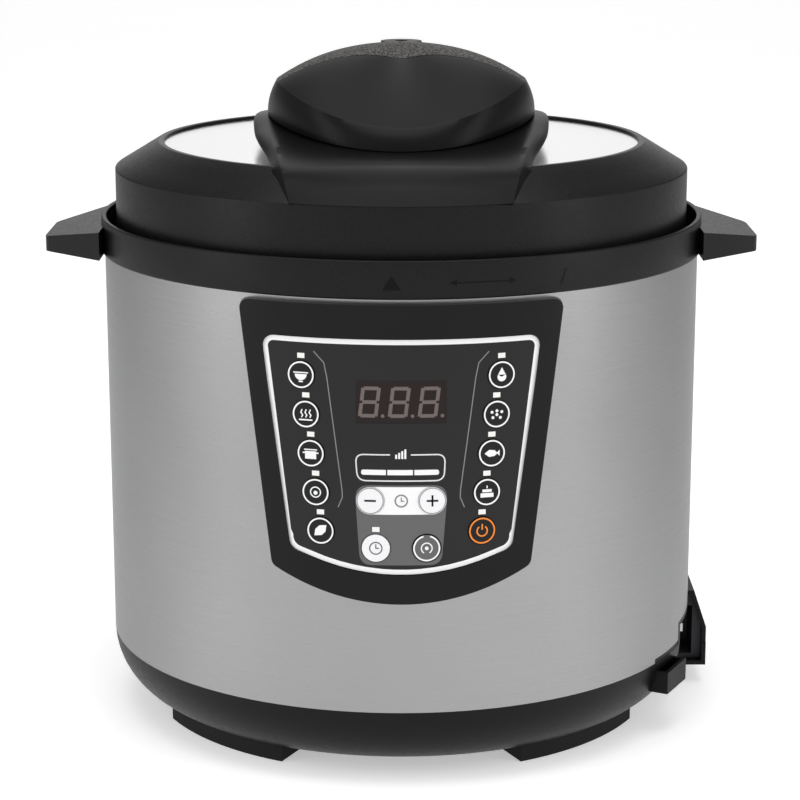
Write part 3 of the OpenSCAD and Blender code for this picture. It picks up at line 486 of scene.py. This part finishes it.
def border(inset):
    """Outline inside the overlay's edge: tapered sides, a curved foot and rounded corners."""
    half_width, foot_arc = OVERLAY_HALF_W - inset, FOOT_ARC_R - inset
    corner = OVERLAY_CORNER - inset * 0.5
    taper = OVERLAY_TAPER / (frame_high.z - frame_low.z) * MM
    top = z_top - inset

    def side(z):
        return half_width - taper * (z_top - z)

    def foot(x):
        return z_low + FOOT_ARC_Z - math.sqrt(foot_arc**2 - x * x)

    half = around(side(top - corner) - corner, top - corner, corner, steps(90, 0, 6))
    half.append((side(z_low + 30), z_low + 30))
    foot_corner = side(z_low + 24) - 5.5
    half += around(foot_corner - 0.2, foot(foot_corner) + 5.6, 5.5, steps(5, -68, 6))
    half += [(x, foot(x)) for x in (32, 26, 20, 14, 8, 3)]
    return half + [(-x, z) for x, z in reversed(half)]


print_on("panel_border", stroke(border(0.3 + BORDER_W / 2), BORDER_W, closed=True), print_white)

# one thin bent line beside each column of keys
side_line = above_foot(
    [(35.8, 106.6), (31.6, 102.0), (30.4, 96.0), (27.0, 69.0), (24.4, 48.6), (24.3, 45.5), (26.1, 41.2)]
)
lines = [quad for side in (-1, 1) for quad in stroke([(side * x, z) for x, z in side_line], 0.42)]
print_on("panel_lines", lines, print_line)


def digit(x, z, w=8.0, h=13.0, t=1.5, slant=0.12):
    """Seven slanted segments, t thick, of a digit whose lower left corner is at x, z."""
    half = h / 2
    shapes = [
        ((x + t * 0.7, z + h - t), (x + w - t * 0.7, z + h)),
        ((x + t * 0.7, z + half - t / 2), (x + w - t * 0.7, z + half + t / 2)),
        ((x + t * 0.7, z), (x + w - t * 0.7, z + t)),
        ((x, z + half + t * 0.35), (x + t, z + h - t * 0.35)),
        ((x + w - t, z + half + t * 0.35), (x + w, z + h - t * 0.35)),
        ((x, z + t * 0.35), (x + t, z + half - t * 0.35)),
        ((x + w - t, z + t * 0.35), (x + w, z + half - t * 0.35)),
    ]
    upright = [rect(*low, *high)[0] for low, high in shapes]
    return [[(px + slant * (pz - z - half), pz) for px, pz in quad] for quad in upright]


# three unlit digits, each with its point, on the display behind the overlay's window
segments = []
for x in (-17.0, -4.8, 7.4):
    segments += digit(x, z_low + 79.7)
    segments += fill(circle(x + 9.4, z_low + 80.4, 0.75, 12))
print_on("display_digits", segments, digits, on_cylinder(OVERLAY_R - 0.14), 0.05)

# rounded frame with a gap at its top for the bar icon, and three bars inside it
corners = above_foot([(18.1, 64.1), (17.6, 53.0), (-18.0, 53.0), (-18.9, 64.1)])
frame_line = above_foot([(3.9, 64.1)]) + rounded(corners, (3.6,) * 4) + above_foot([(-4.6, 64.1)])
print_on("panel_box", stroke(frame_line, 0.55), print_light)
BAR_LOW, BAR_HIGH = z_low + 55.5, z_low + 57.7
bars = rect(-5.7, BAR_LOW, 4.8, BAR_HIGH)
for inner, outer in ((-6.3, -16.5), (5.4, 15.5)):
    bar = [(inner, BAR_LOW), (outer, BAR_LOW), (outer, BAR_HIGH), (inner, BAR_HIGH)]
    bars += fill(rounded(bar, (0, 1.05, 1.05, 0)))
for k in range(4):
    bars += rect(-2.5 + k * 1.25, z_low + 62.4, -1.7 + k * 1.25, z_low + 64.2 + 0.75 * k)
print_on("panel_bars", bars, print_white)

# places of the keys that are not in the two columns
STEP_X, STEP_Z = 12.8, z_low + 44.5
TIMER_X, TIMER_Z = 10.5, z_low + 24.2
KEY_EDGE = 5.95


def key_arc(side, a0, a1):
    """Points round the minus key (side -1) or the plus key (side 1), from a0 to a1 degrees."""
    return around(side * STEP_X, STEP_Z, KEY_EDGE, steps(a0, a1, 20))


# white strip between the minus and plus keys, in a grey field with round corners
print_on("panel_plate", fill(key_arc(-1, 82, -82) + key_arc(1, 262, 98)), print_white)
field = rounded(above_foot([(-19.3, 51.1), (-17.1, 16.8), (16.7, 16.8), (19.3, 51.1)]), (6.5, 5, 5, 6.5))
field_holes = [
    key_arc(-1, 90, 270) + key_arc(1, -90, 90),
    above_foot([(-12.3, 31.0), (-8.7, 31.0), (-8.7, 33.4), (-12.3, 33.4)]),
    circle(-TIMER_X, TIMER_Z, 6.25),
    circle(TIMER_X, TIMER_Z, 6.25),
]
print_on("panel_field", fill(field, field_holes), print_grey)
clock = arc(0, STEP_Z, 2.2, 2.8, 0, 360) + stroke(above_foot([(0, 46.0), (0, 44.4), (1.2, 44.4)]), 0.45)
print_on("plate_clock", clock, print_line, on_cylinder(OVERLAY_R + 0.09))

# ---------------------------------------------------------------- marks on the keys

KEY_FACE = OVERLAY_R + KEY_PROUD
KEY_PITCH, KEY_LOW = 16.45, 30.7
KEY_LOW_X, KEY_SLANT = 33.4, 1.9
RING_OUT = 5.6


def bowl():
    return arc(0, 0.3, 0, 2.6, 180, 360, 12) + rect(-3.2, 0.7, 3.2, 1.2) + rect(-0.9, -3.1, 0.9, -2.5)


def pot():
    handles = rect(-3.4, -0.1, -2.4, 0.5) + rect(2.4, -0.1, 3.4, 0.5)
    return rect(-2.4, -2.4, 2.4, 0.9) + handles + rect(-2.8, 1.3, 2.8, 1.8)


def steam():
    out = rect(-2.9, -2.7, 2.9, -2.1)
    for x in (-1.8, 0, 1.8):
        out += stroke([(x, -1.4), (x + 0.5, -0.4), (x - 0.3, 0.7), (x + 0.3, 2.0)], 0.5)
    return out


def drop():
    return arc(0, -0.9, 0, 1.9, 150, 390, 16) + [[(-1.65, 0.05), (1.65, 0.05), (0, 3.1)]]


def grains():
    out = []
    for x, z in ((-1.7, -1.4), (1.5, -1.5), (0, 1.4), (0, -0.2), (-2.1, 0.9), (2.1, 0.9)):
        out += fill(circle(x, z, 0.65, 10))
    return out


def fish():
    back = [(-1.2, 1.5), (1.2, 1.2), (2.2, 0.2), (3.3, 1.3)]
    return fill([(-3.2, 0.0)] + back + [(x, -z) for x, z in reversed(back)])


def egg():
    return arc(0, 0, 1.9, 2.4, 0, 360, 24) + fill(circle(0, -0.3, 0.9, 14))


def cake():
    return rect(-2.8, -2.2, 2.8, -0.4) + rect(-2.0, 0.0, 2.0, 1.2) + rect(-0.25, 1.6, 0.25, 2.8)


def leaf():
    return fill([(-2.6, -2.2), (-2.2, 0.6), (-0.4, 2.3), (2.6, 2.6), (2.2, -0.2), (0.6, -1.8)])


def power():
    return arc(0, -0.1, 1.9, 2.5, 125, 415, 24) + rect(-0.3, 0.4, 0.3, 2.9)


def minus():
    return rect(-2.4, -0.4, 2.4, 0.4)


def plus():
    return minus() + rect(-0.4, 0.4, 0.4, 2.4) + rect(-0.4, -2.4, 0.4, -0.4)


def clock_face():
    return arc(0, 0, 2.3, 2.8, 0, 360) + stroke([(0, 1.7), (0, 0), (1.3, 0)], 0.45)


def dial():
    return arc(0, 0, 2.0, 2.5, -60, 240, 20) + fill(circle(0, 0, 0.8, 12))


def print_on_key(key, part, faces, x, z, material, lift=PRINT_LIFT, height=0.05):
    """A mark on a key's flat face, lift above it. It rides on the key."""
    whole_key = 50
    place = on_key(x, z, KEY_FACE + lift)
    marks(f"{key}_{part}", faces, place, material, f"{key}_button", height, whole_key)


def ring(inner, a0=0, a1=360):
    return arc(0, 0, inner, RING_OUT, a0, a1, 40)


columns = [(bowl, drop), (steam, grains), (pot, fish), (egg, cake), (leaf, power)]
for n, (left, right) in enumerate(columns, 1):
    above_lowest = len(columns) - n
    x, z = KEY_LOW_X + KEY_SLANT * above_lowest, z_low + KEY_LOW + KEY_PITCH * above_lowest
    is_power = right is power
    right_key = "key_power" if is_power else f"key_right_{n}"
    right_ink = print_orange if is_power else print_white
    for key, at_x, icon, ink in (
        (f"key_left_{n}", -x, left, print_white),
        (right_key, x, right, right_ink),
    ):
        print_on_key(key, "ring", ring(4.95), at_x, z, ink)
        print_on_key(key, "icon", icon(), at_x, z, ink)
for key, x, icon in (("key_minus", -STEP_X, minus), ("key_plus", STEP_X, plus)):
    print_on_key(key, "icon", icon(), x, STEP_Z, print_black)
    print_on_key(key, "ring", ring(5.25), x, STEP_Z, print_line)
print_on_key("key_timer", "icon", clock_face(), -TIMER_X, TIMER_Z, print_grey)
flavor_face = fill(circle(0, 0, 5.7, 48))
print_on_key("key_flavor", "face", flavor_face, TIMER_X, TIMER_Z, print_grey, 0.005, 0.02)
print_on_key("key_flavor", "ring", ring(4.95, 105, 435), TIMER_X, TIMER_Z, print_white, 0.035)
print_on_key("key_flavor", "icon", dial(), TIMER_X, TIMER_Z, print_white, 0.035)

# ---------------------------------------------------------------- marks on the collar

# a triangle at the front, and a double arrow and a tick to its right
COLLAR_R = 136.4
on_collar = on_cylinder(COLLAR_R + PRINT_LIFT)
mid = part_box("collar")[1].z / MM - 9.2
triangle = [(-0.2, mid - 2.8), (-7.8, mid - 2.8), (-4.0, mid + 3.4)]
print_on("collar_triangle", fill(triangle), print_black, on_collar)
arrow = rect(22.0, mid - 0.2, 44.5, mid + 0.3)
for tip, back in ((19.5, 22.6), (47.0, 43.9)):
    arrow += fill([(tip, mid + 0.05), (back, mid + 1.5), (back, mid - 1.4)])
print_on("collar_arrow", arrow, print_black, on_collar)
print_on("collar_tick", stroke([(65.6, mid - 3.4), (67.8, mid + 3.4)], 0.7), print_black, on_collar)

# ---------------------------------------------------------------- domed cap of the lid handle, in metres

z_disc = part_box("lid_disc")[1].z
z_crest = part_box("handle_grip")[1].z
VALVE_Y, WELL_R = 0.036, 0.0135
FLOAT_Y, FLOAT_HOLE_R = 0.086, 0.0034
CREST = Vector((0, 0.012, z_crest - 0.0001))
SEAT_GAP = 0.0004
PARTING_R = 0.3621
FOOT_HALF_W, FOOT_FRONT, FOOT_REAR = 0.0603, 0.0778, 0.0600
EDGE_HALF_W, EDGE_Y, EDGE_FRONT, EDGE_REAR = 0.0552, -0.020, 0.052, 0.070


def lerp(a, b, t):
    return a + (b - a) * t


def parting(y):
    """Height of the saddle-shaped joint between the cap and its base."""
    return z_disc + 0.013 - PARTING_R + math.sqrt(PARTING_R * PARTING_R - y * y)


def cap_foot(a):
    """Lower edge of the cap at an angle from straight ahead."""
    reach = FOOT_FRONT if math.cos(a) > 0 else FOOT_REAR
    y = -reach * math.cos(a)
    return Vector((FOOT_HALF_W * math.sin(a), y, parting(y) + SEAT_GAP))


def cap_edge(a):
    """Crease between the steep band and the top of the cap."""
    c = math.cos(a)
    x = EDGE_HALF_W * math.sin(a)
    if c > 0:
        return Vector((x, EDGE_Y - EDGE_FRONT * c, z_disc + 0.0142 + 0.0156 * (x / EDGE_HALF_W) ** 2))
    return Vector((x, EDGE_Y - EDGE_REAR * c, z_disc + 0.0298 - 0.0018 * c * c))


def drilled(piece, x, y, r, low, high):
    """Cuts an upright round hole into a closed piece and smooths its faces."""
    bm = bmesh.new()
    made = bmesh.ops.create_cone(bm, cap_ends=True, segments=96, radius1=r, radius2=r, depth=high - low)
    bmesh.ops.translate(bm, verts=made["verts"], vec=(x, y, (low + high) / 2))
    mesh = bpy.data.meshes.new("cutter")
    bm.to_mesh(mesh)
    bm.free()
    cutter = bpy.data.objects.new("cutter", mesh)
    bpy.context.scene.collection.objects.link(cutter)
    cut = piece.modifiers.new("hole", "BOOLEAN")
    cut.operation, cut.solver, cut.object = "DIFFERENCE", "EXACT", cutter
    bpy.context.view_layer.update()
    finished = piece.evaluated_get(bpy.context.evaluated_depsgraph_get())
    piece.data = bpy.data.meshes.new_from_object(finished)
    piece.modifiers.clear()
    bpy.data.objects.remove(cutter)
    piece.data.polygons.foreach_set("use_smooth", [True] * len(piece.data.polygons))
    split = piece.modifiers.new("edges", "EDGE_SPLIT")
    split.split_angle = SPLIT_ANGLE


def cap_column(bm, a, band_rows, top_rows):
    """Vertices from the cap's foot over its crease to just short of the crest, at one angle."""
    low, edge = cap_foot(a), cap_edge(a)
    outward = Vector((math.sin(a), -math.cos(a), 0))
    column = []
    for t in steps(0, 1, band_rows):
        bulge = 0.0011 * 4 * t * (1 - t)
        column.append(bm.verts.new(low.lerp(edge, t) + outward * bulge))
    # the top is a dome across and flatter towards the front
    dome = lerp(1.35 if math.cos(a) > 0 else 2.0, 2.65, math.sin(a) ** 2)
    for t in steps(0, 1, top_rows)[1:-1]:
        flat = edge.lerp(CREST, t)
        column.append(bm.verts.new((flat.x, flat.y, lerp(edge.z, CREST.z, 1 - (1 - t) ** dome))))
    return column


def cap_dome(columns=160, band_rows=10, top_rows=48):
    """The cap, closed underneath, with the well of the pressure valve cut into its top."""
    bm = bmesh.new()
    grid = [cap_column(bm, 2 * math.pi * k / columns, band_rows, top_rows) for k in range(columns)]
    crest = bm.verts.new(CREST)
    below = bm.verts.new((0, 0, parting(0) + SEAT_GAP))
    for here, there in zip(grid, grid[1:] + grid[:1]):
        for r in range(band_rows + top_rows - 1):
            quad = bm.faces.new((here[r], there[r], there[r + 1], here[r + 1]))
            quad.material_index = int(r >= band_rows)
        bm.faces.new((here[-1], there[-1], crest)).material_index = 1
        bm.faces.new((there[0], here[0], below))
    cap = new_piece("cap_dome", bm, cap_band, cap_top())
    drilled(cap, 0, VALVE_Y, WELL_R, z_disc + 0.005, z_crest + 0.02)
    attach(cap, "lid")
    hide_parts("handle_cap", "handle_grip")


cap_dome()

# ---------------------------------------------------------------- base of the lid handle

# along the front half, from the middle to the skirt: place, and then y and z of the middle line,
# x, y, z of the top edge, of the shoulder's outermost line and of the foot line on the lid.
# Millimetres, with the top of the lid's disc at DISC_MM.
BASE_ROWS = [
    (0.00, (0, 271.6), (60.3, 0, 271.7), (66.2, 0, 268.4), (54.5, 0, 259)),
    (0.25, (-40, 269.6), (57.4, -40, 268.6), (64.0, -38, 265.4), (55.0, -40, 259)),
    (0.50, (-78, 263.5), (53.4, -72, 265.0), (57.2, -72, 262.0), (55.4, -74, 259)),
    (0.68, (-98, 262.2), (50.8, -94, 261.7), (52.9, -94.6, 260.6), (54.7, -95.4, 259.6)),
    (0.80, (-109, 260.8), (49.1, -106, 258.6), (50.0, -106, 257.4), (50.8, -106.3, 255.4)),
    (0.92, (-121, 255.6), (47.0, -115.4, 252.9), (47.3, -115.6, 252.0), (47.6, -115.8, 250.6)),
    (1.00, (-129.5, 248.5), (45.6, -121.3, 248.7), (45.6, -121.3, 248.3), (45.6, -121.3, 248.0)),
]
DISC_MM = 259.0


def base_knot(row, line):
    """Place and point of one line in one row. Rows before the first mirror those after it."""
    flip = -1 if row < 0 else 1
    v, *points = BASE_ROWS[abs(row)]
    x, y, z = (0, *points[line]) if line == 0 else points[line]
    return flip * v, Vector((x, flip * y, z))


def base_row(v):
    """The four lines of BASE_ROWS at a place between two rows, smoothly, as vectors in metres."""
    last = len(BASE_ROWS) - 1
    k = max(i for i in range(last) if v >= BASE_ROWS[i][0])
    out = []
    for line in range(4):
        (v0, p0), (v1, p1), (v2, p2) = (base_knot(i, line) for i in (k - 1, k, k + 1))
        v3, p3 = base_knot(k + 2, line) if k + 2 <= last else (2 * v2 - v1, p2 * 2 - p1)
        t = (v - v1) / (v2 - v1)
        m1 = (p2 - p0) / (v2 - v0) * (v2 - v1)
        m2 = (p3 - p1) / (v3 - v1) * (v2 - v1)
        h = (2 * t**3 - 3 * t**2 + 1, t**3 - 2 * t**2 + t, 3 * t**2 - 2 * t**3, t**3 - t**2)
        p = p1 * h[0] + m1 * h[1] + p2 * h[2] + m2 * h[3]
        out.append(Vector((p.x, p.y, p.z - DISC_MM)) * MM + Vector((0, 0, z_disc)))
    return out


def base_section(v, across=20, down=10):
    """Points round one cross-section of the base, from its left foot over the top to its right foot."""
    middle, edge, outer, foot_line = base_row(v)
    half = []
    for u in steps(0, 1, across):
        half.append(Vector((edge.x * u, lerp(middle.y, edge.y, u**2), lerp(middle.z, edge.z, u**2))))
    control = outer * 2 - (edge + foot_line) / 2
    for t in steps(0, 1, down)[1:]:
        half.append(edge * (1 - t) ** 2 + control * 2 * t * (1 - t) + foot_line * t**2)
    return [Vector((-p.x, p.y, p.z)) for p in reversed(half[1:])] + half


def handle_saddle(lengths=64):
    """The handle's base from apron to apron, with the float valve's hole."""
    bm = bmesh.new()
    sections = []
    for step in range(-lengths, lengths + 1):
        flip = -1 if step > 0 else 1
        points = base_section(abs(step) / lengths)
        sections.append([bm.verts.new((p.x, p.y * flip, p.z)) for p in points])
    for one, two in zip(sections, sections[1:]):
        for k in range(len(one)):
            n = (k + 1) % len(one)
            bm.faces.new((one[k], one[n], two[n], two[k]))
    bm.faces.new(sections[0])
    bm.faces.new(sections[-1])
    saddle = new_piece("handle_saddle", bm, satin)
    drilled(saddle, 0, FLOAT_Y, FLOAT_HOLE_R, z_disc - 0.02, z_disc + 0.02)
    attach(saddle, "lid")
    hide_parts("handle_base")


handle_saddle()

# ---------------------------------------------------------------- stage, light and camera


def angle_from(nodes_of, along, across):
    """Size of the angle round Z between a direction and the axis that along is measured on."""
    return nodes_of.math("ABSOLUTE", nodes_of.math("ARCTAN2", across, along))


def add_floor():
    """A pale floor that glows evenly for the camera, and less to the sides and rear for reflections."""
    s = Shader("floor")
    s.set(Base_Color=(0.86, 0.86, 0.86), Roughness=0.6, Emission_Color=(1, 1, 1))
    x, y, _ = s.xyz()
    from_front = angle_from(s, s.math("MULTIPLY", y, -1), x)
    glow = s.remap(from_front, math.radians(60), math.radians(125), 0.5, 0.0)
    seen_directly = s.add("ShaderNodeLightPath").outputs["Is Camera Ray"]
    s.set(Emission_Strength=s.blend(seen_directly, glow, 0.42))
    bpy.ops.mesh.primitive_plane_add(size=14, location=(0, 0, -0.0002))
    floor = bpy.context.object
    floor.name = "floor"
    floor.data.materials.append(s.mat)


# grey of the studio's walls against the angle from straight behind the object, as a share of half a turn
WALLS = [(0.0, 1.0), (0.06, 0.9), (0.15, 0.12), (0.34, 0.30), (0.55, 0.80), (0.78, 0.90), (1.0, 0.66)]


def add_world():
    """Walls that are darker beside the object for reflections, and plain white for the camera."""
    world = bpy.data.worlds.new("studio")
    bpy.context.scene.world = world
    world.use_nodes = True
    w = Nodes(world.node_tree, "Generated")
    background = w.tree.nodes["Background"]
    x, y, _ = w.xyz()
    share = w.math("DIVIDE", angle_from(w, y, x), math.pi)
    ramp = w.add("ShaderNodeValToRGB")
    w.link(share, ramp.inputs[0])
    elements = ramp.color_ramp.elements
    for k, (place_at, grey) in enumerate(WALLS):
        element = elements[k] if k < 2 else elements.new(place_at)
        element.position = place_at
        element.color = (grey, grey, grey, 1)
    seen_directly = w.add("ShaderNodeLightPath").outputs["Is Camera Ray"]
    w.link(w.mix(seen_directly, ramp.outputs[0], (1, 1, 1)), background.inputs["Color"])
    background.inputs["Strength"].default_value = 1.0


def softbox(name, place, target, size, power):
    data = bpy.data.lights.new(name, "AREA")
    data.shape = "RECTANGLE"
    data.size, data.size_y = size
    data.energy = power
    light = bpy.data.objects.new(name, data)
    light.location = place
    light.rotation_mode = "QUATERNION"
    light.rotation_quaternion = (Vector(target) - Vector(place)).to_track_quat("-Z", "Y")
    bpy.context.scene.collection.objects.link(light)


def add_camera(place, pitch_down, lens, shift_x):
    """A camera that looks along +Y and down, and becomes the scene's."""
    data = bpy.data.cameras.new("camera")
    data.lens = lens
    data.sensor_width = 36
    data.shift_x = shift_x
    camera = bpy.data.objects.new("camera", data)
    camera.location = place
    camera.rotation_euler = (math.radians(90 - pitch_down), 0, 0)
    bpy.context.scene.collection.objects.link(camera)
    bpy.context.scene.camera = camera


add_floor()
add_world()
softbox("top_light", place=(0.0, -0.1, 1.5), target=(0, 0, 0.2), size=(1.2, 1.0), power=9)
for name, x in (("left_light", -1.3), ("right_light", 1.3)):
    softbox(name, place=(x, -0.6, 0.6), target=(0, 0, 0.15), size=(0.5, 1.2), power=4)
add_camera(place=(0, -1.094, 0.3995), pitch_down=13.47, lens=108.6, shift_x=-0.0016)
bpy.context.scene.view_settings.view_transform = "Standard"
